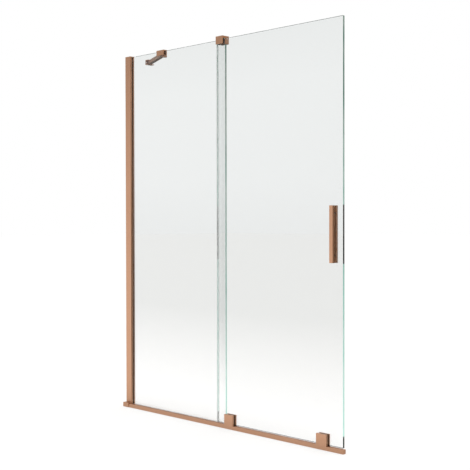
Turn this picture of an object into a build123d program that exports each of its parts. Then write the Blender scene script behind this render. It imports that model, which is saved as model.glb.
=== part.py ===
from build123d import *
from math import hypot
import os

os.makedirs("parts", exist_ok=True)

# A sliding bath screen for the rim of a bath: a fixed pane in a wall profile, and a sliding pane in
# front of it on two roller blocks that straddle a bottom rail.
# X runs along the screen from the wall face at X = 0 to the free end. Y runs from the room side to
# the bath side, with Y = 0 in the middle of the rail. Z runs up from the bath rim at Z = 0.
# All sizes are in millimetres.

# Overall sizes
screen_width = 1200.0
profile_height = 1500.0
glass_thickness = 8.0
pane_pitch = 19.0
glass_arris = 0.5

# Clearances
running_gap = 0.3
fit_gap = 0.1
bearing_clearance = 0.05

# Bottom rail and its ends
rail_depth = 15.0
rail_height = 15.5
rail_wall = 1.6
rail_corner = 0.8
groove_width = 5.8
groove_depth = 1.2
wall_block_length = 35.0
wall_block_proud = 0.5
spigot_length = 14.0
end_cap_length = 5.0
end_cap_round = 2.0

# Wall profile, in two telescoping parts
profile_width = 35.0
profile_depth = 22.5
profile_wall = 1.6
profile_wall_gap = 0.6
profile_cap = 1.5
cap_lug_length = 4.5
channel_reach = 20.0
channel_base = 2.2
channel_gap = 0.25
web_start = 20.6
gasket_line = 1.5
gasket_length = 4.6
lip_thickness = 1.6
wall_hole_radius = 2.75
wall_hole_outer_spacing = 1300.0
wall_hole_inner_spacing = 500.0
profile_screw_radius = 1.9
profile_screw_head = 3.6
profile_screw_rise = 2.0
profile_screw_taper = 20.0
profile_screw_length = 9.0
profile_screw_x = 11.0
profile_screw_end_distance = 150.0

# Fixed pane
fixed_past_middle = 7.0
fixed_bottom = 6.0
fixed_top_drop = 3.5
sill_seal_height = 14.0
sill_seal_wall = 1.2

# Sliding pane
pane_overlap = 29.0
door_end_gap = 3.5
door_lift = 4.0
door_top_drop = 6.0
door_corner = 2.0

# Roller blocks
block_width = 46.0
block_top = 57.0
block_corner = 1.6
block_edge = 0.9
block_foot = 2.0
block_front_depth = 13.2
block_back_depth = 10.2
front_plate = 4.2
back_lip = 1.6
back_lip_foot = 4.0
left_block_inset = 70.0
right_block_inset = 90.3
pad_thickness = 0.6
pad_height = 15.0
pad_inset = 0.6
glide_height = 7.0
glide_inset = 5.0
wheel_radius = 10.0
wheel_width = 5.0
wheel_rim_round = 0.6
bearing_radius = 4.5
axle_radius = 2.0
axle_shoulder = 3.3
axle_seat = 4.0
carrier_width = 31.6
carrier_height = 19.0
notch_corner = 5.0
clamp_screw_spacing = 26.0
clamp_screw_drop = 8.5
clamp_screw_radius = 2.0
clamp_screw_head = 3.6
clamp_screw_head_depth = 2.2
clamp_screw_seat = 4.4
glass_hole_radius = 4.5

# Clear seal on the sliding pane's inner edge
seal_leg = 9.0
seal_wall = 1.0
seal_base = 1.2
seal_lip_sweep = 4.0
seal_lip_thickness = 0.8
seal_below_guide = 5.0

# Handle, one bar on each side of the sliding pane
handle_width = 15.0
handle_depth = 10.8
handle_length = 198.0
handle_middle = 751.0
handle_inset = 44.5
handle_edge = 0.8
handle_stud_spacing = 145.0
handle_stud_radius = 2.5
handle_stud_seat = 8.0
handle_hole_radius = 5.0
handle_washer = 0.5
handle_washer_radius = 6.5
handle_grub_radius = 1.9
handle_grub_length = 4.0

# Stops behind the rail
handle_stop_gap = 6.5
stop_length = 12.0
stop_depth = 3.0
stop_height = 9.0
stop_foot = 3.0
stop_screw_radius = 1.6
stop_head_radius = 3.0
stop_head_rise = 1.2
stop_socket = 2.0
stop_socket_depth = 0.8

# Top guide on the fixed pane's free corner
guide_width = 37.7
guide_overhang = 8.1
guide_front = 8.9
guide_back = 28.0
guide_grip = 18.1
guide_rise = 12.3
guide_corner = 0.9
guide_liner = 1.0
guide_run = 0.6
guide_head_room = 2.5
guide_pad = 0.9
guide_liner_inset = 0.6
guide_grub_radius = 2.5
guide_grub_spacing = 16.0

# Support arm from the fixed pane's top edge back to the wall
arm_drop = 5.5
arm_width = 17.0
arm_height = 15.0
arm_gap = 0.3
clamp_x = 227.0
clamp_width = 44.0
clamp_height = 21.0
clamp_front_plate = 4.7
clamp_back_plate = 5.2
clamp_pad = 0.8
clamp_corner = 0.8
knuckle_drop = 5.0
clamp_grub_radius = 2.0
clamp_grub_spacing = 32.0
pivot_radius = 2.5
foot_y = 137.5
foot_width = 33.0
foot_depth = 21.0
foot_height = 21.0
foot_back = 2.6
foot_corner = 2.0
foot_hole_radius = 2.2
foot_hole_spacing = 24.0
pin_inset = 0.6

# Places that follow from the sizes above
half_glass = glass_thickness / 2
fixed_front = pane_pitch - half_glass
fixed_back = pane_pitch + half_glass
rail_back = rail_depth / 2
rail_stop_x = screen_width - end_cap_length
groove_floor = rail_height - groove_depth
cavity_top = groove_floor - rail_wall
profile_front = pane_pitch - profile_depth / 2
profile_back = pane_pitch + profile_depth / 2
profile_top = profile_height - profile_cap
fixed_end = screen_width / 2 + fixed_past_middle
fixed_top = profile_height - fixed_top_drop
door_left = fixed_end - pane_overlap
door_right = screen_width - door_end_gap
door_bottom = rail_height + door_lift
door_top = profile_height - door_top_drop
block_middles = {"left": door_left + left_block_inset, "right": door_right - right_block_inset}
plate_face = half_glass + pad_thickness
axle_z = groove_floor + running_gap + wheel_radius
clamp_screw_z = block_top - clamp_screw_drop
notch_width = carrier_width + 2 * fit_gap
notch_top = door_bottom + carrier_height + fit_gap
handle_x = door_right - handle_inset
handle_face = half_glass + handle_washer
handle_stud_heights = [handle_middle + side * handle_stud_spacing / 2 for side in (-1, 1)]
door_travel = handle_x - handle_width / 2 - fixed_end - handle_stop_gap
guide_right = fixed_end + guide_overhang
guide_left = guide_right - guide_width
guide_bottom = door_top - guide_grip
guide_top = door_top + guide_rise
guide_slot_top = door_top + guide_head_room + guide_liner
guide_slot_half = half_glass + guide_run + guide_liner
arm_middle = fixed_top - arm_drop
clamp_bottom = arm_middle - clamp_height / 2
clamp_top = arm_middle + clamp_height / 2
clamp_boss_foot = clamp_bottom - knuckle_drop
clamp_front = fixed_front - clamp_pad - clamp_front_plate
clamp_back = fixed_back + clamp_pad + clamp_back_plate
arm_bottom = arm_middle - arm_height / 2
arm_top = arm_middle + arm_height / 2
clamp_pivot = (clamp_x, clamp_back + arm_gap + arm_width / 2)
foot_pivot = (foot_back + arm_gap + arm_width / 2, foot_y)
arm_length = hypot(clamp_pivot[0] - foot_pivot[0], clamp_pivot[1] - foot_pivot[1])


def write(builder, name):
    """Label a finished piece and write it under that name."""
    builder.part.label = name
    export_step(builder.part, f"parts/{name}.step")


def span(low, high):
    """The middle and the length of a stretch."""
    return (low + high) / 2, high - low


def slab(x, y, z, mode=Mode.ADD):
    """A box between the given low and high X, Y and Z, in the part that is being built."""
    (x_middle, x_size), (y_middle, y_size), (z_middle, z_size) = span(*x), span(*y), span(*z)
    with Locations((x_middle, y_middle, z_middle)):
        Box(x_size, y_size, z_size, mode=mode)


def rect(x, y, mode=Mode.ADD):
    """A rectangle between the given low and high values, in the sketch that is being built."""
    (x_middle, x_size), (y_middle, y_size) = span(*x), span(*y)
    with Locations((x_middle, y_middle)):
        Rectangle(x_size, y_size, mode=mode)


def soft_rect(x, y, radius, mode=Mode.ADD):
    """The same with rounded corners."""
    (x_middle, x_size), (y_middle, y_size) = span(*x), span(*y)
    with Locations((x_middle, y_middle)):
        RectangleRounded(x_size, y_size, radius, mode=mode)


def rod_y(x, z, y, radius, mode=Mode.ADD):
    """A round bar or hole along Y between the given low and high Y."""
    with BuildSketch(Plane.XZ.offset(-y[0])) as disc:
        with Locations((x, z)):
            Circle(radius)
    extrude(disc.sketch, amount=-(y[1] - y[0]), mode=mode)


def rod_z(x, y, z, radius, mode=Mode.ADD):
    """A round bar or hole along Z between the given low and high Z."""
    with BuildSketch(Plane.XY.offset(z[0])) as disc:
        with Locations((x, y)):
            Circle(radius)
    extrude(disc.sketch, amount=z[1] - z[0], mode=mode)


def socket_y(x, z, y, across, mode=Mode.SUBTRACT):
    """A hexagon socket along Y between the given low and high Y."""
    with BuildSketch(Plane.XZ.offset(-y[0])) as hexagon:
        with Locations((x, z)):
            RegularPolygon(across / 2, 6, major_radius=False)
    extrude(hexagon.sketch, amount=-(y[1] - y[0]), mode=mode)


def arris(builder, depth):
    """Bevel the front and back outlines of a pane."""
    faces = builder.faces().filter_by(Axis.Y).sort_by(Axis.Y)
    chamfer(faces[0].outer_wire().edges() + faces[-1].outer_wire().edges(), depth)


# Bottom rail: a hollow extrusion with a running groove along its top
with BuildPart() as bottom_rail:
    with BuildSketch(Plane.YZ.offset(wall_block_length)):
        soft_rect((-rail_back, rail_back), (0, rail_height), rail_corner)
        rect((-groove_width / 2, groove_width / 2), (groove_floor, rail_height), Mode.SUBTRACT)
        rect((rail_wall - rail_back, rail_back - rail_wall), (rail_wall, cavity_top), Mode.SUBTRACT)
    extrude(amount=rail_stop_x - wall_block_length)
write(bottom_rail, "bottom_rail")

spigot_y = (rail_wall + fit_gap - rail_back, rail_back - rail_wall - fit_gap)
spigot_z = (rail_wall + fit_gap, cavity_top - fit_gap)

# Wall end of the rail: a solid block with a spigot in the rail
with BuildPart() as rail_wall_block:
    with BuildSketch(Plane.YZ):
        soft_rect((-rail_back - wall_block_proud, rail_back), (0, rail_height + wall_block_proud),
                  rail_corner)
    extrude(amount=wall_block_length)
    slab((wall_block_length, wall_block_length + spigot_length), spigot_y, spigot_z)
write(rail_wall_block, "rail_wall_block")

# Free end of the rail: a cap with rounded outer edges
with BuildPart() as rail_end_cap:
    with BuildSketch(Plane.YZ.offset(rail_stop_x)):
        soft_rect((-rail_back, rail_back), (0, rail_height), rail_corner)
    extrude(amount=end_cap_length)
    outer_face = rail_end_cap.faces().sort_by(Axis.X)[-1]
    fillet(outer_face.edges().group_by(Axis.Z)[-1] + outer_face.edges().filter_by(Axis.Z), end_cap_round)
    slab((rail_stop_x - spigot_length, rail_stop_x), spigot_y, spigot_z)
write(rail_end_cap, "rail_end_cap")

# Stops for the roller blocks, one for each end of the travel, screwed to the back of the rail
open_stop_x = block_middles["left"] - block_width / 2 - door_travel - running_gap - stop_length
closed_stop_x = block_middles["right"] + block_width / 2 + running_gap
stop_places = (open_stop_x, closed_stop_x)
stop_screw_z = stop_foot + stop_height / 2
stop_head_back = rail_back + stop_depth + stop_head_rise
with BuildPart() as rail_stops:
    for x in stop_places:
        with BuildSketch(Plane.YZ.offset(x)):
            rect((rail_back, rail_back + stop_depth), (stop_foot, stop_foot + stop_height))
        extrude(amount=stop_length)
    for x in stop_places:
        rod_y(x + stop_length / 2, stop_screw_z, (rail_back, rail_back + stop_depth), stop_screw_radius,
              Mode.SUBTRACT)
write(rail_stops, "rail_stops")

with BuildPart() as stop_screws:
    for x in stop_places:
        screw_x = x + stop_length / 2
        rod_y(screw_x, stop_screw_z, (rail_back, rail_back + stop_depth), stop_screw_radius)
        rod_y(screw_x, stop_screw_z, (rail_back + stop_depth, stop_head_back), stop_head_radius)
        socket_y(screw_x, stop_screw_z, (stop_head_back - stop_socket_depth, stop_head_back), stop_socket)
write(stop_screws, "rail_stop_screws")

# Wall channel: the part that is screwed to the wall, open towards the pane
channel_front = profile_front + profile_wall + channel_gap
channel_back = profile_back - profile_wall - channel_gap
screw_heights = (profile_screw_end_distance, profile_height / 2, profile_height - profile_screw_end_distance)
with BuildPart() as wall_channel:
    with BuildSketch(Plane.XY):
        rect((0, channel_reach), (channel_front, channel_back))
        rect((channel_base, channel_reach), (channel_front + profile_wall, channel_back - profile_wall),
             Mode.SUBTRACT)
    extrude(amount=profile_top)
    for spacing in (wall_hole_outer_spacing, wall_hole_inner_spacing):
        for side in (-1, 1):
            with BuildSketch(Plane.YZ):
                with Locations((pane_pitch, profile_height / 2 + side * spacing / 2)):
                    Circle(wall_hole_radius)
            extrude(amount=channel_base, mode=Mode.SUBTRACT)
    for z in screw_heights:
        rod_y(profile_screw_x, z, (channel_back - profile_wall, channel_back), profile_screw_radius + fit_gap,
              Mode.SUBTRACT)
write(wall_channel, "wall_channel")

# Glass profile: slides over the wall channel and grips the fixed pane between two gaskets
mouth_front = fixed_front - gasket_line
mouth_back = fixed_back + gasket_line
hook_x = profile_width - lip_thickness - gasket_length
with BuildPart() as glass_profile:
    with BuildSketch(Plane.XY):
        soft_rect((profile_wall_gap, profile_width), (profile_front, profile_back), rail_corner)
        rect((0, web_start), (profile_front + profile_wall, profile_back - profile_wall), Mode.SUBTRACT)
        rect((web_start + profile_wall, profile_width - lip_thickness),
             (profile_front + profile_wall, profile_back - profile_wall), Mode.SUBTRACT)
        rect((web_start + profile_wall, profile_width), (mouth_front, mouth_back), Mode.SUBTRACT)
        rect((hook_x - profile_wall, hook_x), (profile_front + profile_wall, mouth_front))
        rect((hook_x - profile_wall, hook_x), (mouth_back, profile_back - profile_wall))
    extrude(amount=profile_top)
    for z in screw_heights:
        rod_y(profile_screw_x, z, (profile_back - profile_wall, profile_back),
              profile_screw_radius + fit_gap, Mode.SUBTRACT)
write(glass_profile, "glass_profile")

# Gaskets on both faces of the pane, held behind the profile's lips
with BuildPart() as profile_gaskets:
    for face, away in ((fixed_front, -1), (fixed_back, 1)):
        foot = face + away * (pane_pitch - half_glass - profile_front - profile_wall)
        neck = face + away * gasket_line
        with BuildSketch(Plane.XY):
            with BuildLine():
                Polyline(
                    (hook_x, face),
                    (hook_x, foot),
                    (hook_x + gasket_length, foot),
                    (hook_x + gasket_length, neck),
                    (profile_width, neck),
                    (profile_width + lip_thickness / 2, face),
                    close=True,
                )
            make_face()
        extrude(amount=profile_top)
write(profile_gaskets, "profile_gaskets")

# Cap on the profile's top end, with lugs inside the profile's two chambers
with BuildPart() as profile_top_cap:
    with BuildSketch(Plane.XY.offset(profile_top)):
        soft_rect((profile_wall_gap, profile_width), (profile_front, profile_back), rail_corner)
    extrude(amount=profile_cap)
    fillet(profile_top_cap.faces().sort_by(Axis.Z)[-1].edges(), rail_corner / 2)
    lug_x = (channel_base + fit_gap, channel_reach - profile_wall)
    lug_y = (channel_front + profile_wall + fit_gap, channel_back - profile_wall - fit_gap)
    slab(lug_x, lug_y, (profile_top - cap_lug_length, profile_top))
    slab((lug_x[0] + profile_wall, lug_x[1] - profile_wall),
         (lug_y[0] + profile_wall, lug_y[1] - profile_wall),
         (profile_top - cap_lug_length, profile_top), Mode.SUBTRACT)
write(profile_top_cap, "profile_top_cap")

# Screws that lock the glass profile to the wall channel, on the bath side
with BuildPart() as profile_screws:
    for z in screw_heights:
        rod_y(profile_screw_x, z, (profile_back - profile_screw_length, profile_back), profile_screw_radius)
        with BuildSketch(Plane.XZ.offset(-profile_back)):
            with Locations((profile_screw_x, z)):
                Circle(profile_screw_head)
        extrude(amount=-profile_screw_rise, taper=profile_screw_taper)
        socket_y(profile_screw_x, z,
                 (profile_back + profile_screw_rise / 2, profile_back + profile_screw_rise),
                 profile_screw_radius)
write(profile_screws, "profile_screws")

# Fixed pane, from inside the profile to its polished free edge
with BuildPart() as fixed_glass:
    with BuildSketch(Plane.XZ.offset(-fixed_front)):
        rect((web_start + profile_wall + running_gap, fixed_end), (fixed_bottom, fixed_top))
    extrude(amount=-glass_thickness)
    arris(fixed_glass, glass_arris)
write(fixed_glass, "fixed_glass")

# Blocks that the fixed pane stands on inside the profile
with BuildPart() as setting_block:
    slab((web_start + profile_wall + running_gap, hook_x - profile_wall - running_gap),
         (fixed_front, fixed_back), (0, fixed_bottom))
write(setting_block, "setting_block")

# Clear seal under the fixed pane, with a hollow foot on the bath rim
with BuildPart() as sill_seal:
    with BuildSketch(Plane.YZ.offset(profile_width + lip_thickness)):
        rect((fixed_front - sill_seal_wall, fixed_back + sill_seal_wall), (0, sill_seal_height))
        rect((fixed_front, fixed_back), (fixed_bottom, sill_seal_height), Mode.SUBTRACT)
        rect((fixed_front, fixed_back), (sill_seal_wall, fixed_bottom - sill_seal_wall), Mode.SUBTRACT)
    extrude(amount=fixed_end - profile_width - lip_thickness)
write(sill_seal, "sill_seal")

# Sliding pane, with a notch and two holes for each roller block and two holes for the handle
with BuildPart() as door_glass:
    with BuildSketch(Plane.XZ.offset(half_glass)):
        soft_rect((door_left, door_right), (door_bottom, door_top), door_corner)
    extrude(amount=-glass_thickness)
    arris(door_glass, glass_arris)
    with BuildSketch(Plane.XZ.offset(half_glass)):
        for middle in block_middles.values():
            half_notch = notch_width / 2
            soft_rect((middle - half_notch, middle + half_notch), (2 * door_bottom - notch_top, notch_top),
                      notch_corner)
            for side in (-1, 1):
                with Locations((middle + side * clamp_screw_spacing / 2, clamp_screw_z)):
                    Circle(glass_hole_radius)
        for z in handle_stud_heights:
            with Locations((handle_x, z)):
                Circle(handle_hole_radius)
    extrude(amount=-glass_thickness, mode=Mode.SUBTRACT)
write(door_glass, "door_glass")

# Clear seal on the inner edge of the sliding pane, with a lip towards the fixed pane
seal_back = fixed_front - running_gap
with BuildPart() as door_seal:
    with BuildSketch(Plane.XY.offset(door_bottom)):
        with BuildLine():
            Polyline(
                (door_left + seal_leg, -half_glass),
                (door_left + seal_leg, -half_glass - seal_wall),
                (door_left - seal_base, -half_glass - seal_wall),
                (door_left - seal_base, half_glass),
                (door_left - seal_base - seal_lip_sweep, seal_back),
                (door_left - seal_base - seal_lip_sweep + seal_lip_thickness, seal_back),
                (door_left - seal_base + seal_lip_thickness, half_glass + seal_wall),
                (door_left + seal_leg, half_glass + seal_wall),
                (door_left + seal_leg, half_glass),
                (door_left, half_glass),
                (door_left, -half_glass),
                close=True,
            )
        make_face()
    extrude(amount=guide_bottom - seal_below_guide - door_bottom)
write(door_seal, "door_seal")

# Roller blocks: each clamps the pane between a front cover and a back plate, on both sides of the
# rail, and carries one ball-bearing wheel in the pane's notch
for side, middle in block_middles.items():
    left_x = middle - block_width / 2
    right_x = middle + block_width / 2
    screw_xs = [middle + hand * clamp_screw_spacing / 2 for hand in (-1, 1)]
    glide_x = (left_x + glide_inset, right_x - glide_inset)
    glide_z = (rail_height / 2 - glide_height / 2, rail_height / 2 + glide_height / 2)
    glide_face = rail_back + running_gap
    front_inner = front_plate - block_front_depth
    back_inner = block_back_depth - back_lip

    with BuildPart() as roller_cover:
        with BuildSketch(Plane.XZ.offset(plate_face)):
            soft_rect((left_x, right_x), (block_foot, block_top), block_corner)
        extrude(amount=block_front_depth - plate_face)
        fillet(roller_cover.faces().sort_by(Axis.Y)[0].edges(), block_edge)
        slab((left_x, right_x), (front_inner, -plate_face), (0, door_bottom), Mode.SUBTRACT)
        rod_y(middle, axle_z, (-plate_face - axle_seat, -plate_face), axle_radius, Mode.SUBTRACT)
        for x in screw_xs:
            rod_y(x, clamp_screw_z, (-plate_face - clamp_screw_seat, -plate_face), clamp_screw_radius,
                  Mode.SUBTRACT)
    write(roller_cover, f"roller_cover_{side}")

    with BuildPart() as roller_back:
        with BuildSketch(Plane.XZ.offset(-plate_face)):
            soft_rect((left_x, right_x), (back_lip_foot, block_top), block_corner)
        extrude(amount=plate_face - block_back_depth)
        fillet(roller_back.faces().sort_by(Axis.Y)[-1].edges(), block_edge)
        slab((left_x, right_x), (plate_face, back_inner), (0, door_bottom), Mode.SUBTRACT)
        rod_y(middle, axle_z, (wheel_width / 2 + fit_gap, plate_face), axle_shoulder)
        rod_y(middle, axle_z, (wheel_width / 2 + fit_gap, block_back_depth - back_lip), axle_radius,
              Mode.SUBTRACT)
        for x in screw_xs:
            rod_y(x, clamp_screw_z, (plate_face, block_back_depth), clamp_screw_radius, Mode.SUBTRACT)
            rod_y(x, clamp_screw_z, (block_back_depth - clamp_screw_head_depth, block_back_depth),
                  clamp_screw_head, Mode.SUBTRACT)
    write(roller_back, f"roller_back_{side}")

    with BuildPart() as roller_clamp_screws:
        for x in screw_xs:
            rod_y(x, clamp_screw_z, (-plate_face - clamp_screw_seat, block_back_depth), clamp_screw_radius)
            rod_y(x, clamp_screw_z, (block_back_depth - clamp_screw_head_depth, block_back_depth),
                  clamp_screw_head)
            socket_y(x, clamp_screw_z, (block_back_depth - clamp_screw_head_depth / 2, block_back_depth),
                     clamp_screw_head)
    write(roller_clamp_screws, f"roller_clamp_screws_{side}")

    with BuildPart() as roller_pads:
        for y in ((-plate_face, -half_glass), (half_glass, plate_face)):
            slab((left_x + pad_inset, right_x - pad_inset), y,
                 (block_top - pad_inset - pad_height, block_top - pad_inset))
            for x in screw_xs:
                rod_y(x, clamp_screw_z, y, clamp_screw_radius, Mode.SUBTRACT)
    write(roller_pads, f"roller_pads_{side}")

    with BuildPart() as roller_glides:
        slab(glide_x, (front_inner, -glide_face), glide_z)
        slab(glide_x, (glide_face, back_inner), glide_z)
    write(roller_glides, f"roller_glides_{side}")

    with BuildPart() as roller_carrier:
        with BuildSketch(Plane.XZ.offset(half_glass)):
            soft_rect((middle - carrier_width / 2, middle + carrier_width / 2),
                      (2 * door_bottom - notch_top, notch_top - fit_gap), notch_corner)
            rect((left_x, right_x), (0, door_bottom), Mode.SUBTRACT)
            with Locations((middle, axle_z)):
                Circle(wheel_radius + 2 * running_gap, mode=Mode.SUBTRACT)
        extrude(amount=-glass_thickness)
    write(roller_carrier, f"roller_carrier_{side}")

    with BuildPart() as roller_axle:
        rod_y(middle, axle_z, (-plate_face - axle_seat, block_back_depth - back_lip), axle_radius)
        rod_y(middle, axle_z, (-plate_face, -wheel_width / 2 - fit_gap), axle_shoulder)
    write(roller_axle, f"roller_axle_{side}")

    with BuildPart() as roller_bearing:
        rod_y(middle, axle_z, (-wheel_width / 2, wheel_width / 2), bearing_radius)
        rod_y(middle, axle_z, (-wheel_width / 2, wheel_width / 2), axle_radius + bearing_clearance,
              Mode.SUBTRACT)
    write(roller_bearing, f"roller_bearing_{side}")

    with BuildPart() as roller_wheel:
        rod_y(middle, axle_z, (-wheel_width / 2, wheel_width / 2), wheel_radius)
        fillet(roller_wheel.edges(), wheel_rim_round)
        rod_y(middle, axle_z, (-wheel_width / 2, wheel_width / 2), bearing_radius, Mode.SUBTRACT)
    write(roller_wheel, f"roller_wheel_{side}")

# Handle bars, one in front of the pane and one behind it
handle_bars = {"outer": -1, "inner": 1}
for side, away in handle_bars.items():
    near = away * handle_face
    far = away * (handle_face + handle_depth)
    with BuildPart() as handle_bar:
        with BuildSketch(Plane.XY.offset(handle_middle - handle_length / 2)):
            soft_rect((handle_x - handle_width / 2, handle_x + handle_width / 2), sorted((near, far)),
                      handle_edge)
        extrude(amount=handle_length)
        ends = handle_bar.faces().sort_by(Axis.Z)
        fillet(ends[0].edges() + ends[-1].edges(), handle_edge / 2)
        for z in handle_stud_heights:
            rod_y(handle_x, z, sorted((near, near + away * handle_stud_seat)), handle_stud_radius,
                  Mode.SUBTRACT)
            if away > 0:
                with BuildSketch(Plane.YZ.offset(handle_x - handle_width / 2)):
                    with Locations((near + away * handle_stud_seat / 2, z)):
                        Circle(handle_grub_radius)
                extrude(amount=handle_width / 2 - handle_stud_radius, mode=Mode.SUBTRACT)
    write(handle_bar, f"handle_{side}")

with BuildPart() as handle_studs:
    for z in handle_stud_heights:
        rod_y(handle_x, z, (-handle_face - handle_stud_seat, handle_face + handle_stud_seat),
              handle_stud_radius)
write(handle_studs, "handle_studs")

with BuildPart() as handle_sleeves:
    for z in handle_stud_heights:
        rod_y(handle_x, z, (-half_glass, half_glass), handle_hole_radius - fit_gap)
        rod_y(handle_x, z, (-half_glass, half_glass), handle_stud_radius, Mode.SUBTRACT)
write(handle_sleeves, "handle_sleeves")

with BuildPart() as handle_washers:
    for z in handle_stud_heights:
        for y in ((-handle_face, -half_glass), (half_glass, handle_face)):
            rod_y(handle_x, z, y, handle_washer_radius)
            rod_y(handle_x, z, y, handle_stud_radius, Mode.SUBTRACT)
write(handle_washers, "handle_washers")

with BuildPart() as handle_grub_screws:
    grub_start = handle_x - handle_stud_radius - handle_grub_length
    for z in handle_stud_heights:
        with BuildSketch(Plane.YZ.offset(grub_start)):
            with Locations((handle_face + handle_stud_seat / 2, z)):
                Circle(handle_grub_radius)
                RegularPolygon(handle_grub_radius / 2, 6, major_radius=False, mode=Mode.SUBTRACT)
        extrude(amount=handle_grub_length / 2)
        with BuildSketch(Plane.YZ.offset(grub_start + handle_grub_length / 2)):
            with Locations((handle_face + handle_stud_seat / 2, z)):
                Circle(handle_grub_radius)
        extrude(amount=handle_grub_length / 2)
write(handle_grub_screws, "handle_grub_screws")

# Top guide: closes over both panes at the fixed pane's free corner
guide_pocket = (fixed_front - guide_pad, fixed_back + guide_pad)
guide_grub_xs = [(guide_left + fixed_end) / 2 + hand * guide_grub_spacing / 2 for hand in (-1, 1)]
guide_grub_z = (guide_bottom + fixed_top) / 2
with BuildPart() as guide_body:
    with BuildSketch(Plane.XY.offset(guide_bottom)):
        soft_rect((guide_left, guide_right), (-guide_front, guide_back), guide_corner)
    extrude(amount=guide_top - guide_bottom)
    fillet(guide_body.faces().sort_by(Axis.Z)[-1].edges(), guide_corner / 2)
    slab((guide_left, guide_right), (-guide_slot_half, guide_slot_half), (guide_bottom, guide_slot_top),
         Mode.SUBTRACT)
    slab((guide_left, fixed_end + running_gap), guide_pocket, (guide_bottom, fixed_top + guide_pad),
         Mode.SUBTRACT)
    for x in guide_grub_xs:
        rod_y(x, guide_grub_z, (guide_pocket[1], guide_back), guide_grub_radius, Mode.SUBTRACT)
write(guide_body, "guide_body")

with BuildPart() as guide_glide:
    with BuildSketch(Plane.YZ.offset(guide_left + guide_liner_inset)):
        rect((-guide_slot_half, guide_slot_half), (guide_bottom + guide_liner_inset, guide_slot_top))
        rect((guide_liner - guide_slot_half, guide_slot_half - guide_liner),
             (guide_bottom, guide_slot_top - guide_liner), Mode.SUBTRACT)
    extrude(amount=guide_width - 2 * guide_liner_inset)
write(guide_glide, "guide_glide")

with BuildPart() as guide_pads:
    with BuildSketch(Plane.YZ.offset(guide_left + guide_liner_inset)):
        rect(guide_pocket, (guide_bottom + guide_liner_inset, fixed_top + guide_pad))
        rect((fixed_front, fixed_back), (guide_bottom, fixed_top), Mode.SUBTRACT)
    extrude(amount=fixed_end - guide_left - guide_liner_inset)
write(guide_pads, "guide_pads")

with BuildPart() as guide_grub_screws:
    for x in guide_grub_xs:
        rod_y(x, guide_grub_z, (guide_pocket[1], guide_back - fit_gap), guide_grub_radius)
        socket_y(x, guide_grub_z, (guide_back - guide_grub_radius, guide_back), guide_grub_radius)
write(guide_grub_screws, "guide_grub_screws")

# Support arm's clamp: straddles the fixed pane's top edge, with a forked knuckle behind
clamp_slot = (fixed_front - clamp_pad, fixed_back + clamp_pad)
clamp_left = clamp_x - clamp_width / 2
clamp_right = clamp_x + clamp_width / 2
knuckle_radius = arm_width / 2
clamp_grub_xs = [clamp_x + hand * clamp_grub_spacing / 2 for hand in (-1, 1)]
with BuildPart() as arm_clamp:
    with BuildSketch(Plane.YZ.offset(clamp_left)):
        soft_rect((clamp_front, clamp_back), (clamp_bottom, clamp_top), clamp_corner)
        rect(clamp_slot, (clamp_bottom, fixed_top + clamp_pad), Mode.SUBTRACT)
    extrude(amount=clamp_width)
    for z in ((clamp_boss_foot, arm_bottom - arm_gap), (arm_top + arm_gap, clamp_top)):
        with BuildSketch(Plane.XY.offset(z[0])):
            rect((clamp_x - knuckle_radius, clamp_x + knuckle_radius),
                 (clamp_back - clamp_corner, clamp_pivot[1]))
            with Locations(clamp_pivot):
                Circle(knuckle_radius)
        extrude(amount=z[1] - z[0])
    slab((clamp_left, clamp_right), (clamp_back - clamp_corner, clamp_back), (clamp_boss_foot, clamp_bottom),
         Mode.SUBTRACT)
    rod_z(*clamp_pivot, (clamp_boss_foot, clamp_top), pivot_radius, Mode.SUBTRACT)
    for x in clamp_grub_xs:
        rod_y(x, arm_middle, (clamp_slot[1], clamp_back), clamp_grub_radius, Mode.SUBTRACT)
write(arm_clamp, "arm_clamp")

with BuildPart() as arm_clamp_pads:
    with BuildSketch(Plane.YZ.offset(clamp_left + clamp_pad)):
        rect(clamp_slot, (clamp_bottom + clamp_pad, fixed_top + clamp_pad))
        rect((fixed_front, fixed_back), (clamp_bottom, fixed_top), Mode.SUBTRACT)
    extrude(amount=clamp_width - 2 * clamp_pad)
write(arm_clamp_pads, "arm_clamp_pads")

with BuildPart() as arm_clamp_grub_screws:
    for x in clamp_grub_xs:
        rod_y(x, arm_middle, (clamp_slot[1], clamp_back - fit_gap), clamp_grub_radius)
        socket_y(x, arm_middle, (clamp_back - clamp_grub_radius, clamp_back), clamp_grub_radius)
write(arm_clamp_grub_screws, "arm_clamp_grub_screws")

# Arm: a bar with an eye at each end
arm_plane = Plane(origin=(*foot_pivot, arm_bottom), x_dir=(clamp_pivot[0] - foot_pivot[0],
                  clamp_pivot[1] - foot_pivot[1], 0), z_dir=(0, 0, 1))
with BuildPart() as arm_bar:
    with BuildSketch(arm_plane):
        rect((0, arm_length), (-arm_width / 2, arm_width / 2))
        with Locations((0, 0), (arm_length, 0)):
            Circle(arm_width / 2)
            Circle(pivot_radius, mode=Mode.SUBTRACT)
    extrude(amount=arm_height)
write(arm_bar, "arm_bar")

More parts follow.
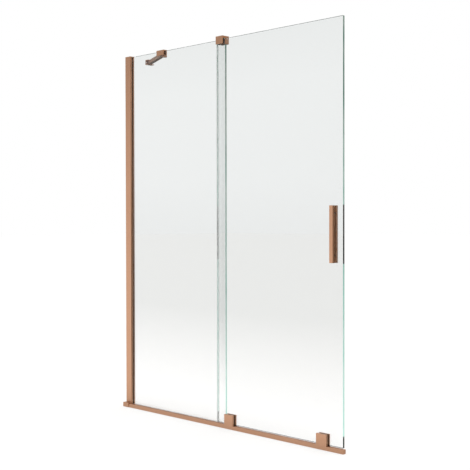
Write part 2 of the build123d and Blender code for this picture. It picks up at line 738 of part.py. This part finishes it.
# Wall foot: a bracket with two cheeks, screwed to the wall behind the arm's eye
foot_bottom = arm_middle - foot_height / 2
foot_top = arm_middle + foot_height / 2
with BuildPart() as arm_wall_foot:
    with BuildSketch(Plane.XY.offset(foot_bottom)):
        rect((0, foot_depth), (foot_y - foot_width / 2, foot_y + foot_width / 2))
    extrude(amount=foot_top - foot_bottom)
    fillet(arm_wall_foot.edges().filter_by(Axis.Z).group_by(Axis.X)[-1], foot_corner)
    slab((foot_back, foot_depth), (foot_y - foot_width, foot_y + foot_width),
         (arm_bottom - arm_gap, arm_top + arm_gap), Mode.SUBTRACT)
    rod_z(*foot_pivot, (foot_bottom, foot_top), pivot_radius, Mode.SUBTRACT)
    for hand in (-1, 1):
        with BuildSketch(Plane.YZ):
            with Locations((foot_y + hand * foot_hole_spacing / 2, arm_middle)):
                Circle(foot_hole_radius)
        extrude(amount=foot_back, mode=Mode.SUBTRACT)
write(arm_wall_foot, "arm_wall_foot")

# Pivot pins at the arm's two ends
with BuildPart() as arm_pins:
    rod_z(*clamp_pivot, (clamp_boss_foot + pin_inset, clamp_top - pin_inset), pivot_radius)
    rod_z(*foot_pivot, (foot_bottom + pin_inset, foot_top - pin_inset), pivot_radius)
write(arm_pins, "arm_pins")
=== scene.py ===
import math
import bmesh
import bpy
from mathutils import Matrix, Vector


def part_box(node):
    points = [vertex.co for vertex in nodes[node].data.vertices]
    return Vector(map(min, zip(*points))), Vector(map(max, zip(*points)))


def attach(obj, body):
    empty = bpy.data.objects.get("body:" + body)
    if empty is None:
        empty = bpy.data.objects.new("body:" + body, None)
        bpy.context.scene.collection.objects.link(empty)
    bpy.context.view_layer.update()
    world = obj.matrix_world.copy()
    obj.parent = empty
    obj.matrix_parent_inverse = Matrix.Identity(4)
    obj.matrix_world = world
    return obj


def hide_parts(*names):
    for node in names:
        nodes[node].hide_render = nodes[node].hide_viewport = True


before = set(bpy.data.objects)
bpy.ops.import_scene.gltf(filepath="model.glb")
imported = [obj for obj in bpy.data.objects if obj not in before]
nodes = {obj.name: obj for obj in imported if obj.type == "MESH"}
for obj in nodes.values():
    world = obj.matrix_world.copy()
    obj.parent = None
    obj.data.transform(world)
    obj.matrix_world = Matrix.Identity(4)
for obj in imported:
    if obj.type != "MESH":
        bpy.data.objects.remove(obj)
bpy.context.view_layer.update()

# The camera stands in the room, off the screen's free end, and looks along the screen's diagonal.
# Its place and turns were worked out from the straight edges in the photograph, in metres and radians.
CAMERA_PLACE = (3.20138, -2.52862, 0.79856)
CAMERA_HEADING = math.radians(45.0)
CAMERA_DOWN = 0.01539
CAMERA_ROLL = -0.00166
CAMERA_LENS_MM = 72.166
SENSOR_MM = 36.0
CAMERA_REACH = 200.0

# Linear colours
COPPER = (0.500, 0.286, 0.182, 1)
COPPER_DEEP = (0.425, 0.228, 0.138, 1)
ALUMINIUM = (0.62, 0.62, 0.64, 1)
STEEL = (0.56, 0.56, 0.58, 1)
NYLON = (0.72, 0.71, 0.68, 1)
RUBBER = (0.035, 0.034, 0.036, 1)
BRONZE_RUBBER = (0.330, 0.185, 0.115, 1)
GLASS_TINT = (0.862, 0.880, 0.874, 1)
# Painted shade greys the panes in the middle, and a painted glow of the floor clears them low down
GLASS_TINT_PAINTED_SHADE = (0.775, 0.791, 0.786, 1)
GLASS_TINT_PAINTED_GLOW = (0.985, 0.990, 0.988, 1)
GLASS_EDGE_HIGH = (0.040, 0.140, 0.105, 1)
# The edge faces are painted pale low down, as a painted glow of the floor
GLASS_EDGE_PAINTED_GLOW = (0.430, 0.840, 0.750, 1)
# Painted reflections of the handle and the right roller block in the sliding pane's edge
GLASS_EDGE_PAINTED_REFLECTION = (0.003, 0.005, 0.005, 1)
SEAL = (0.580, 0.600, 0.600, 1)
WHITE = (1, 1, 1, 1)
WARM_WALL = (1.00, 0.86, 0.72, 1)

# Brush lines, clouds, edges lightened by wear and a painted highlight, and moulded grain. Counts are
# spots a metre, and depths and the radius of the lightened edges are metres. The others are shares and
# changes of gloss.
BRUSH_ALONG = 14.0
BRUSH_ACROSS = 2600.0
BRUSH_DEPTH = 0.00002
BRUSH_STRENGTH = 0.35
BRUSH_SMOOTHER = 0.05
BRUSH_ROUGHER = 0.07
CLOUDS = (9, 9, 9)
CLOUD_SHARE = 0.35
EDGE_WEAR_AND_HIGHLIGHT_RADIUS = 0.0008
EDGE_WEAR_AND_HIGHLIGHT_SAMPLES = 4
# How much lighter the edges are, partly as wear and partly as a painted highlight
EDGE_WEAR_AND_HIGHLIGHT_LIGHTER = 1.25
EDGE_WEAR_AND_HIGHLIGHT_SPOTS = (240, 240, 240)
EDGE_WEAR_AND_HIGHLIGHT_LEAST = 0.3
GRAIN = (900, 900, 900)
GRAIN_DEPTH = 0.00003
GRAIN_STRENGTH = 0.2
GRAIN_DARKER = 0.94
GRAIN_GLOSS_SWING = 0.06

# The stretch of a noise or a likeness over which each effect goes from none to full
GLOSS_SPREAD = (0.3, 0.7)
BRUSH_SPREAD = (0.35, 0.65)
CLOUD_SPREAD = (0.35, 0.70)
EDGE_WEAR_AND_HIGHLIGHT_SPREAD = (0.35, 0.6)
EDGE_WEAR_AND_HIGHLIGHT_LIKENESS = (0.72, 0.97)
EDGE_REFLECTION_SPREAD = (0.4, 0.7)
LARGE_FACE = (0.8, 0.95)
UNDERSIDE = (-0.6, -0.3)

# The panes. The low index bends little of what stands behind them, and the coat mirrors as glass does.
PANE_IOR = 1.1
PANE_COAT_IOR = 1.5
# Painted reflections: white ripples painted into the green of the edge faces
EDGE_REFLECTION_RIPPLE = (60, 60, 9)
EDGE_REFLECTION_SHARE = 0.25
EDGE_SEE_THROUGH = 0.15

# Heights in metres of the light painted on the panes: a painted glow of the floor makes them palest at
# the floor, painted shade makes them greyest in the middle, they are paler towards the top, and their
# edge faces are painted pale low down and turn to deep green on the way up
PAINTED_GLOW_FULL_BELOW = 0.11
PAINTED_GLOW_GONE_ABOVE = 0.45
PAINTED_SHADE_FULL_BELOW = 0.75
PAINTED_SHADE_GONE_ABOVE = 1.30
EDGE_PAINTED_GLOW_BELOW = 0.10
EDGE_DEEP_ABOVE = 1.25

# Metres over which the painted reflections of the handle and the right roller block, dark in the edge,
# fade out
HANDLE_REFLECTION_FADE = 0.004
BLOCK_REFLECTION_FADE = 0.006

# The clear seal, whose lip is greyer than its legs, in metres and shares
SEAL_LIP_WIDTH = 0.009
SEAL_LIP_FADE = 0.002
SEAL_LIP_ALPHA = 0.24
SEAL_LEG_ALPHA = 0.03
SEAL_CLOUDS = (40, 40, 6)
SEAL_GLOSSIEST = 0.15
SEAL_DULLEST = 0.30

# The pieces that stand for CAD nodes, in metres, with how finely their corners are rounded
BLOCK_PROUD = 0.0025
BLOCK_RISE = 0.0032
ROUNDED_CORNER = 0.0008
COVER_CORNER = 0.0016
COVER_GAP = 0.0003
CORNER_STEPS = 6
SOFT_EDGE = 0.0007
SOFT_EDGE_STEPS = 3
SOFT_EDGE_ANGLE = math.radians(50.0)

# Strengths of the light, where 1 is white
ROOM_FRONT = 1.38
ROOM_FRONT_HIGH = 0.25
ROOM_SIDE = 0.66
ROOM_WALL = 0.20
ROOM_BACK = 0.90
ROOM_BACK_LOW = 0.20
CEILING = 1.00
FLOOR_ROOM = 1.45
FLOOR_BATH = 0.02
FLOOR_GLOW = 0.67
FLOOR_GLOW_BEHIND = 0.63
FLOOR_PAINT = (0.28, 0.28, 0.28, 1)
FLOOR_PAINT_MIRRORED = (0.04, 0.04, 0.04, 1)

# Headings of the studio's walls, seen from the object
ROOM_HEADING = (-0.64, -0.77, 0.0)
WALL_HEADING = (-1.0, 0.0, 0.0)
BACK_HEADING = (-0.71, 0.71, 0.0)
WARM_HEADING = (0.71, 0.71, 0.0)

# Where each part of the studio fades in: how near a direction is to its heading, or how steep it is,
# and for the floor the metres behind the screen
ROOM_NEAR = (0.40, 0.92)
ROOM_STEEP = (0.04, 0.24)
WALL_NEAR = (0.3, 0.8)
BACK_NEAR = (0.78, 0.97)
BACK_STEEP = (-0.05, 0.22)
WARM_NEAR = (0.1, 0.8)
CEILING_STEEP = (0.25, 0.80)
FLOOR_BEHIND = (-0.3, 0.5)

# The floor and the lamp, in metres and watts
FLOOR_SIZE = 80.0
FLOOR_PLACE = (0.6, 0.0, -0.0005)
LAMP_PLACE = (0.6, -0.6, 3.6)
LAMP_TARGET = (0.6, 0.0, 0.7)
LAMP_SIZE = 2.6
LAMP_POWER = 18.0


def add(tree, kind, **values):
    """A new shader node, with the given input values and attributes."""
    node = tree.nodes.new("ShaderNode" + kind)
    for name, value in values.items():
        if hasattr(node, name):
            setattr(node, name, value)
        else:
            node.inputs[name.replace("_", " ")].default_value = value
    return node


def put(tree, source, socket):
    """Joins a socket to an input, or sets the input to a plain value."""
    if isinstance(source, bpy.types.NodeSocket):
        tree.links.new(source, socket)
    else:
        socket.default_value = source


def new_material(name):
    """An empty node material and its tree, with only an output."""
    material = bpy.data.materials.new(name)
    material.use_nodes = True
    tree = material.node_tree
    tree.nodes.clear()
    return material, tree, tree.nodes.new("ShaderNodeOutputMaterial")


def parts_of(tree, vector):
    """The X, Y and Z sockets of a vector."""
    split = add(tree, "SeparateXYZ")
    tree.links.new(vector, split.inputs["Vector"])
    return split.outputs["X"], split.outputs["Y"], split.outputs["Z"]


def noise(tree, scale, detail=3.0, rough=0.5):
    """A noise value from 0 to 1 with that many spots a metre along each axis."""
    place = add(tree, "TexCoord")
    stretch = add(tree, "Mapping", Scale=scale)
    texture = add(tree, "TexNoise", Scale=1.0, Detail=detail, Roughness=rough)
    tree.links.new(place.outputs["Object"], stretch.inputs["Vector"])
    tree.links.new(stretch.outputs["Vector"], texture.inputs["Vector"])
    return texture.outputs["Fac"]


def ranged(tree, value, low, high, from_low=0.0, from_high=1.0):
    """A value moved from one range to another, kept inside it."""
    mapped = add(tree, "MapRange", From_Min=from_low, From_Max=from_high, To_Min=low, To_Max=high)
    tree.links.new(value, mapped.inputs["Value"])
    return mapped.outputs["Result"]


def combined(tree, operation, first, second, **settings):
    """The product, sum, difference or larger one of two values."""
    result = add(tree, "Math", operation=operation, **settings)
    tree.links.new(first, result.inputs[0])
    tree.links.new(second, result.inputs[1])
    return result.outputs["Value"]


def dotted(tree, first, second):
    """The dot product of two vectors."""
    product = add(tree, "VectorMath", operation="DOT_PRODUCT")
    put(tree, first, product.inputs[0])
    put(tree, second, product.inputs[1])
    return product.outputs["Value"]


def mixed(tree, factor, low, high):
    """A colour between two colours."""
    mix = add(tree, "Mix", data_type="RGBA")
    tree.links.new(factor, mix.inputs["Factor"])
    put(tree, low, mix.inputs[6])
    put(tree, high, mix.inputs[7])
    return mix.outputs[2]


def between(tree, factor, low, high):
    """A value between two values."""
    mix = add(tree, "Mix", data_type="FLOAT")
    tree.links.new(factor, mix.inputs["Factor"])
    put(tree, low, mix.inputs[2])
    put(tree, high, mix.inputs[3])
    return mix.outputs[0]


def bump(tree, height, strength, distance):
    """A normal from a height value."""
    node = add(tree, "Bump", Strength=strength, Distance=distance)
    tree.links.new(height, node.inputs["Height"])
    return node.outputs["Normal"]


def worn_and_highlit_edge(tree):
    """Near 1 along sharp edges, broken up by noise, and 0 on flat faces. It lightens edges as wear and
    as a painted highlight.
    """
    rounded = add(tree, "Bevel", samples=EDGE_WEAR_AND_HIGHLIGHT_SAMPLES, Radius=EDGE_WEAR_AND_HIGHLIGHT_RADIUS)
    facing = add(tree, "NewGeometry")
    likeness = dotted(tree, rounded.outputs["Normal"], facing.outputs["Normal"])
    rub_and_highlight = ranged(tree, likeness, 1.0, 0.0, *EDGE_WEAR_AND_HIGHLIGHT_LIKENESS)
    spots = ranged(tree, noise(tree, EDGE_WEAR_AND_HIGHLIGHT_SPOTS), EDGE_WEAR_AND_HIGHLIGHT_LEAST, 1.0, *EDGE_WEAR_AND_HIGHLIGHT_SPREAD)
    return combined(tree, "MULTIPLY", rub_and_highlight, spots)


def brushed_metal(name, light, deep, grain, roughness):
    """Metal with fine parallel brush lines. grain is the number of lines a metre along each axis."""
    material, tree, output = new_material(name)
    shader = add(tree, "BsdfPrincipled", Metallic=1.0)
    lines = noise(tree, grain, detail=4.0, rough=0.6)
    clouds = noise(tree, CLOUDS, detail=2.0)
    # Edges lightened partly as wear and partly as a painted highlight
    wear_and_highlight_colour = tuple(min(1.0, part * EDGE_WEAR_AND_HIGHLIGHT_LIGHTER) for part in light[:3]) + (1,)
    tone = mixed(tree, ranged(tree, lines, 0.0, 1.0, *BRUSH_SPREAD), deep, light)
    cloudy = mixed(tree, ranged(tree, clouds, 0.0, CLOUD_SHARE, *CLOUD_SPREAD), tone, light)
    smoothest, roughest = roughness - BRUSH_SMOOTHER, roughness + BRUSH_ROUGHER
    gloss = ranged(tree, lines, smoothest, roughest, *GLOSS_SPREAD)
    tree.links.new(mixed(tree, worn_and_highlit_edge(tree), cloudy, wear_and_highlight_colour), shader.inputs["Base Color"])
    tree.links.new(gloss, shader.inputs["Roughness"])
    tree.links.new(bump(tree, lines, BRUSH_STRENGTH, BRUSH_DEPTH), shader.inputs["Normal"])
    tree.links.new(shader.outputs["BSDF"], output.inputs["Surface"])
    return material


def moulded(name, colour, roughness):
    """Moulded plastic or rubber with a faint grain."""
    material, tree, output = new_material(name)
    shader = add(tree, "BsdfPrincipled")
    grain = noise(tree, GRAIN, detail=2.0)
    dim = tuple(part * GRAIN_DARKER for part in colour[:3]) + (1,)
    smoothest, roughest = roughness - GRAIN_GLOSS_SWING, roughness + GRAIN_GLOSS_SWING
    gloss = ranged(tree, grain, smoothest, roughest, *GLOSS_SPREAD)
    tree.links.new(mixed(tree, grain, dim, colour), shader.inputs["Base Color"])
    tree.links.new(gloss, shader.inputs["Roughness"])
    tree.links.new(bump(tree, grain, GRAIN_STRENGTH, GRAIN_DEPTH), shader.inputs["Normal"])
    tree.links.new(shader.outputs["BSDF"], output.inputs["Surface"])
    return material


def lets_lamps_through(tree, shader, output, tint):
    """Joins a clear shader to the output so that lamps shine through it, dimmed by tint."""
    path = add(tree, "LightPath")
    film = add(tree, "BsdfTransparent", Color=tint)
    mix = add(tree, "MixShader")
    tree.links.new(path.outputs["Is Shadow Ray"], mix.inputs[0])
    tree.links.new(shader.outputs["BSDF"], mix.inputs[1])
    tree.links.new(film.outputs["BSDF"], mix.inputs[2])
    tree.links.new(mix.outputs["Shader"], output.inputs["Surface"])


def band(tree, height, low, high, fade):
    """1 where a height lies between low and high, fading to 0 over fade outside them."""
    rise = ranged(tree, height, 0.0, 1.0, low - fade, low)
    drop = ranged(tree, height, 1.0, 0.0, high, high + fade)
    return combined(tree, "MULTIPLY", rise, drop)


def edge_mask(tree, normal):
    """1 on a pane's edge faces, and 0 on its two large faces and its underside."""
    facing_y, facing_z = parts_of(tree, normal)[1:]
    flat = add(tree, "Math", operation="ABSOLUTE")
    tree.links.new(facing_y, flat.inputs[0])
    sideways = ranged(tree, flat.outputs["Value"], 1.0, 0.0, *LARGE_FACE)
    above = ranged(tree, facing_z, 0.0, 1.0, *UNDERSIDE)
    return combined(tree, "MULTIPLY", sideways, above)


def edge_tone(tree, height, painted_reflection_bands):
    """The green of a pane's edge faces, with a painted glow near the floor, painted reflections rippled
    in white, and painted reflections of fittings as dark bands.
    """
    # Painted glow of the floor low down, then painted reflections rippled in white
    up = ranged(tree, height, 0.0, 1.0, EDGE_PAINTED_GLOW_BELOW, EDGE_DEEP_ABOVE)
    green = mixed(tree, up, GLASS_EDGE_PAINTED_GLOW, GLASS_EDGE_HIGH)
    painted_reflection_ripple = ranged(tree, noise(tree, EDGE_REFLECTION_RIPPLE), 0.0, EDGE_REFLECTION_SHARE, *EDGE_REFLECTION_SPREAD)
    tone = mixed(tree, painted_reflection_ripple, green, WHITE)
    # Painted reflections of the handle and the right roller block, laid as dark bands
    for low, high, fade in painted_reflection_bands:
        tone = mixed(tree, band(tree, height, low, high, fade), tone, GLASS_EDGE_PAINTED_REFLECTION)
    return tone


def face_tint_with_painted_light(tree, height):
    """The grey that a pane's large faces give to what is behind them, with a painted glow of the floor
    low down and painted shade in the middle.
    """
    # Painted glow of the floor near the bottom, and painted shade in the middle
    clear = ranged(tree, height, 1.0, 0.0, PAINTED_GLOW_FULL_BELOW, PAINTED_GLOW_GONE_ABOVE)
    pale = ranged(tree, height, 0.0, 1.0, PAINTED_SHADE_FULL_BELOW, PAINTED_SHADE_GONE_ABOVE)
    return mixed(tree, clear, mixed(tree, pale, GLASS_TINT_PAINTED_SHADE, GLASS_TINT), GLASS_TINT_PAINTED_GLOW)


def pane_material(name, painted_reflection_bands=()):
    """Clear glass with green edge faces. Each painted reflection band is a low end, a high end and a
    fade, where the reflection of a fitting is painted dark into the edge."""
    material, tree, output = new_material(name)
    shader = add(tree, "BsdfPrincipled", IOR=PANE_IOR, Roughness=0.0)
    shader.inputs["Coat Weight"].default_value = 1.0
    shader.inputs["Coat IOR"].default_value = PANE_COAT_IOR
    shader.inputs["Coat Roughness"].default_value = 0.0
    place = add(tree, "TexCoord")
    height = parts_of(tree, place.outputs["Object"])[2]
    edge = edge_mask(tree, place.outputs["Normal"])
    colour = mixed(tree, edge, face_tint_with_painted_light(tree, height), edge_tone(tree, height, painted_reflection_bands))
    tree.links.new(colour, shader.inputs["Base Color"])
    tree.links.new(ranged(tree, edge, 1.0, EDGE_SEE_THROUGH), shader.inputs["Transmission Weight"])
    lets_lamps_through(tree, shader, output, GLASS_TINT)
    return material


def seal_material():
    """Soft clear plastic whose lip, at the low end of X, is a little grey."""
    material, tree, output = new_material("clear_seal")
    shader = add(tree, "BsdfPrincipled", Base_Color=SEAL)
    place = add(tree, "TexCoord")
    across = parts_of(tree, place.outputs["Object"])[0]
    lip_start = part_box("door_seal")[0].x
    lip_end = lip_start + SEAL_LIP_WIDTH
    alpha = ranged(tree, across, SEAL_LIP_ALPHA, SEAL_LEG_ALPHA, lip_end - SEAL_LIP_FADE, lip_end)
    gloss = ranged(tree, noise(tree, SEAL_CLOUDS), SEAL_GLOSSIEST, SEAL_DULLEST, *GLOSS_SPREAD)
    tree.links.new(alpha, shader.inputs["Alpha"])
    tree.links.new(gloss, shader.inputs["Roughness"])
    tree.links.new(shader.outputs["BSDF"], output.inputs["Surface"])
    return material


def dress(material, *names):
    """Gives CAD nodes a material."""
    for name in names:
        slots = nodes[name].data.materials
        slots.clear()
        slots.append(material)


def rounded_outline(low, high, corner):
    """Points of a rectangle between two corners, with its own corners rounded."""
    left, right = low[0] + corner, high[0] - corner
    bottom, top = low[1] + corner, high[1] - corner
    centres = ((right, top), (left, top), (left, bottom), (right, bottom))
    points = []
    for turn, (across, up) in enumerate(centres):
        for step in range(CORNER_STEPS + 1):
            angle = math.radians(90.0 * (turn + step / CORNER_STEPS))
            points.append((across + corner * math.cos(angle), up + corner * math.sin(angle)))
    return points


def prism(name, outline, start, end, place, material):
    """A solid with that outline from start to end. place turns (across, up, along) into a point."""
    mesh = bmesh.new()
    rings = [[mesh.verts.new(place(x, y, along)) for x, y in outline] for along in (start, end)]
    mesh.faces.new(rings[0])
    mesh.faces.new(rings[1])
    for index in range(len(outline)):
        after = (index + 1) % len(outline)
        mesh.faces.new((rings[0][index], rings[0][after], rings[1][after], rings[1][index]))
    bmesh.ops.recalc_face_normals(mesh, faces=mesh.faces)
    data = bpy.data.meshes.new(name)
    mesh.to_mesh(data)
    mesh.free()
    piece = bpy.data.objects.new(name, data)
    bpy.context.scene.collection.objects.link(piece)
    soften = piece.modifiers.new("soft_edges", "BEVEL")
    soften.width = SOFT_EDGE
    soften.segments = SOFT_EDGE_STEPS
    soften.angle_limit = SOFT_EDGE_ANGLE
    piece.data.materials.append(material)
    return piece


def raised_wall_block(material):
    """The wall end of the rail, a little higher and further forward than the rail."""
    low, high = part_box("rail_wall_block")
    rail_low, rail_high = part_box("bottom_rail")
    front_foot = (rail_low.y - BLOCK_PROUD, low.z)
    back_top = (rail_high.y, rail_high.z + BLOCK_RISE)
    outline = rounded_outline(front_foot, back_top, ROUNDED_CORNER)
    block = prism("wall_block_shape", outline, low.x, rail_low.x, lambda y, z, x: (x, y, z), material)
    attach(block, "root")
    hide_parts("rail_wall_block")


def short_roller_cover(side, material):
    """The front of a roller block, which ends just over the rail."""
    low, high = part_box(f"roller_cover_{side}")
    rail_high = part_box("bottom_rail")[1]
    outline = rounded_outline((low.x, rail_high.z + COVER_GAP), (high.x, high.z), COVER_CORNER)
    name = f"roller_cover_shape_{side}"
    cover = prism(name, outline, low.y, high.y, lambda x, z, y: (x, y, z), material)
    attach(cover, "door")
    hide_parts(f"roller_cover_{side}", f"roller_glides_{side}")


def dress_copper():
    """The fittings of brushed copper, and the pieces that stand for three of them."""
    brushed_x = (BRUSH_ALONG, BRUSH_ACROSS, BRUSH_ACROSS)
    brushed_z = (BRUSH_ACROSS, BRUSH_ACROSS, BRUSH_ALONG)
    brushed_short = (BRUSH_ALONG * 2, BRUSH_ACROSS, BRUSH_ACROSS)
    along_x = brushed_metal("copper_brushed_along", COPPER, COPPER_DEEP, brushed_x, roughness=0.38)
    along_z = brushed_metal("copper_brushed_upright", COPPER, COPPER_DEEP, brushed_z, roughness=0.38)
    fittings = brushed_metal("copper_fittings", COPPER, COPPER_DEEP, brushed_short, roughness=0.36)
    dress(along_x, "bottom_rail", "rail_wall_block", "rail_end_cap")
    dress(along_z, "glass_profile", "profile_top_cap", "handle_outer", "handle_inner")
    dress(fittings, "guide_body", "arm_clamp", "arm_bar", "arm_wall_foot", "profile_screws")
    raised_wall_block(along_x)
    for side in ("left", "right"):
        dress(fittings, f"roller_cover_{side}", f"roller_back_{side}", f"roller_carrier_{side}")
        short_roller_cover(side, fittings)


def dress_other_metal():
    """The aluminium channel behind the profile, and the steel screws, pins, axles and bearings."""
    brushed_z = (BRUSH_ACROSS, BRUSH_ACROSS, BRUSH_ALONG)
    plain = (BRUSH_ACROSS, BRUSH_ACROSS, BRUSH_ACROSS)
    channel = brushed_metal("mill_aluminium", ALUMINIUM, ALUMINIUM, brushed_z, roughness=0.40)
    steel = brushed_metal("bright_steel", STEEL, ALUMINIUM, plain, roughness=0.25)
    dress(channel, "wall_channel")
    dress(steel, "rail_stop_screws", "guide_grub_screws", "arm_clamp_grub_screws", "arm_pins")
    dress(steel, "handle_studs", "handle_grub_screws")
    for side in ("left", "right"):
        dress(steel, f"roller_clamp_screws_{side}", f"roller_axle_{side}", f"roller_bearing_{side}")


def dress_soft_parts():
    """The nylon, rubber and clear plastic pieces."""
    nylon = moulded("white_nylon", NYLON, roughness=0.45)
    rubber = moulded("grey_rubber", RUBBER, roughness=0.60)
    bronze_rubber = moulded("bronze_rubber", BRONZE_RUBBER, roughness=0.55)
    dress(nylon, "rail_stops")
    dress(bronze_rubber, "profile_gaskets")
    dress(rubber, "setting_block", "guide_glide", "guide_pads", "arm_clamp_pads")
    dress(seal_material(), "door_seal", "sill_seal", "handle_sleeves", "handle_washers")
    for side in ("left", "right"):
        dress(nylon, f"roller_glides_{side}", f"roller_wheel_{side}")
        dress(bronze_rubber, f"roller_pads_{side}")


def dress_panes():
    """The two panes. Painted reflections of the handle and the right roller block lie dark in the
    sliding pane's edge.
    """
    handle_low, handle_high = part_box("handle_outer")
    block_low, block_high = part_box("roller_cover_right")
    edge_reflection_bands = (
        (handle_low.z, handle_high.z, HANDLE_REFLECTION_FADE),
        (block_low.z, block_high.z, BLOCK_REFLECTION_FADE),
    )
    dress(pane_material("glass_of_the_fixed_pane"), "fixed_glass")
    dress(pane_material("glass_of_the_sliding_pane", edge_reflection_bands), "door_glass")


def seen_directly(tree):
    """1 on rays from the camera and through glass, 0 on rays that light or mirror in a surface."""
    path = add(tree, "LightPath").outputs
    straight = combined(tree, "MAXIMUM", path["Is Camera Ray"], path["Is Transmission Ray"])
    mirrored = combined(tree, "MAXIMUM", path["Glossy Depth"], path["Diffuse Depth"])
    return combined(tree, "SUBTRACT", straight, mirrored, use_clamp=True)


def studio_walls(tree, direction, height):
    """How bright the studio's walls are: pale on the room side, dark behind the object's wall end, and
    graded from the floor up at the back."""
    front = ranged(tree, dotted(tree, direction, ROOM_HEADING), 0.0, 1.0, *ROOM_NEAR)
    front_level = ranged(tree, height, ROOM_FRONT, ROOM_FRONT_HIGH, *ROOM_STEEP)
    side_level = ranged(tree, dotted(tree, direction, WALL_HEADING), ROOM_SIDE, ROOM_WALL, *WALL_NEAR)
    back = ranged(tree, dotted(tree, direction, BACK_HEADING), 0.0, 1.0, *BACK_NEAR)
    back_level = ranged(tree, height, ROOM_BACK_LOW, ROOM_BACK, *BACK_STEEP)
    return between(tree, front, between(tree, back, side_level, back_level), front_level)


def show_white_world():
    """A white backdrop for the camera and through the glass. What lights the object is a plain studio
    with a pale ceiling and walls of different greys, warmer on one side."""
    world = bpy.data.worlds.new("studio")
    bpy.context.scene.world = world
    world.use_nodes = True
    tree = world.node_tree
    tree.nodes.clear()
    output = tree.nodes.new("ShaderNodeOutputWorld")
    direction = add(tree, "TexCoord").outputs["Generated"]
    height = parts_of(tree, direction)[2]
    warm = ranged(tree, dotted(tree, direction, WARM_HEADING), 0.0, 1.0, *WARM_NEAR)
    overhead = ranged(tree, height, 0.0, CEILING, *CEILING_STEEP)
    level = combined(tree, "ADD", studio_walls(tree, direction, height), overhead)
    studio = add(tree, "Background")
    tree.links.new(mixed(tree, warm, WHITE, WARM_WALL), studio.inputs["Color"])
    tree.links.new(level, studio.inputs["Strength"])
    backdrop = add(tree, "Background", Color=WHITE, Strength=1.0)
    whole = add(tree, "MixShader")
    tree.links.new(seen_directly(tree), whole.inputs[0])
    tree.links.new(studio.outputs[0], whole.inputs[1])
    tree.links.new(backdrop.outputs[0], whole.inputs[2])
    tree.links.new(whole.outputs[0], output.inputs["Surface"])


def lay_floor():
    """A pale floor that keeps a soft shadow. Glass and metal mirror it bright on the
    room side and dim on the bath side."""
    bpy.ops.mesh.primitive_plane_add(size=FLOOR_SIZE, location=FLOOR_PLACE)
    floor = bpy.context.object
    floor.name = "floor"
    material, tree, output = new_material("pale_floor")
    depth = parts_of(tree, add(tree, "TexCoord").outputs["Object"])[1]
    mirrored_level = ranged(tree, depth, FLOOR_ROOM, FLOOR_BATH, *FLOOR_BEHIND)
    through_glass = add(tree, "LightPath").outputs["Is Transmission Ray"]
    seen_level = ranged(tree, through_glass, FLOOR_GLOW, FLOOR_GLOW_BEHIND)
    seen = seen_directly(tree)
    glow = add(tree, "Emission", Color=WHITE)
    tree.links.new(between(tree, seen, mirrored_level, seen_level), glow.inputs["Strength"])
    paint = add(tree, "BsdfDiffuse")
    tree.links.new(mixed(tree, seen, FLOOR_PAINT_MIRRORED, FLOOR_PAINT), paint.inputs["Color"])
    both = add(tree, "AddShader")
    tree.links.new(glow.outputs[0], both.inputs[0])
    tree.links.new(paint.outputs[0], both.inputs[1])
    tree.links.new(both.outputs[0], output.inputs["Surface"])
    floor.data.materials.append(material)


def hang_lamp():
    """A square soft lamp over the room side, which points at the middle of the screen."""
    lamp = bpy.data.lights.new("ceiling", "AREA")
    lamp.shape = "SQUARE"
    lamp.size = LAMP_SIZE
    lamp.energy = LAMP_POWER
    holder = bpy.data.objects.new("ceiling", lamp)
    bpy.context.scene.collection.objects.link(holder)
    holder.location = LAMP_PLACE
    aim = Vector(LAMP_TARGET) - Vector(LAMP_PLACE)
    holder.rotation_euler = aim.to_track_quat("-Z", "Y").to_euler()


def place_camera():
    """The camera at the photograph's view."""
    camera = bpy.data.cameras.new("camera")
    camera.sensor_fit = "HORIZONTAL"
    camera.sensor_width = SENSOR_MM
    camera.lens = CAMERA_LENS_MM
    camera.clip_end = CAMERA_REACH
    holder = bpy.data.objects.new("camera", camera)
    bpy.context.scene.collection.objects.link(holder)
    level = math.radians(90.0) - CAMERA_DOWN
    holder.matrix_world = (
        Matrix.Translation(CAMERA_PLACE)
        @ Matrix.Rotation(CAMERA_HEADING, 4, "Z")
        @ Matrix.Rotation(level, 4, "X")
        @ Matrix.Rotation(CAMERA_ROLL, 4, "Z")
    )
    bpy.context.scene.camera = holder


bpy.context.scene.view_settings.view_transform = "Standard"
place_camera()
show_white_world()
lay_floor()
hang_lamp()
dress_copper()
dress_other_metal()
dress_soft_parts()
dress_panes()
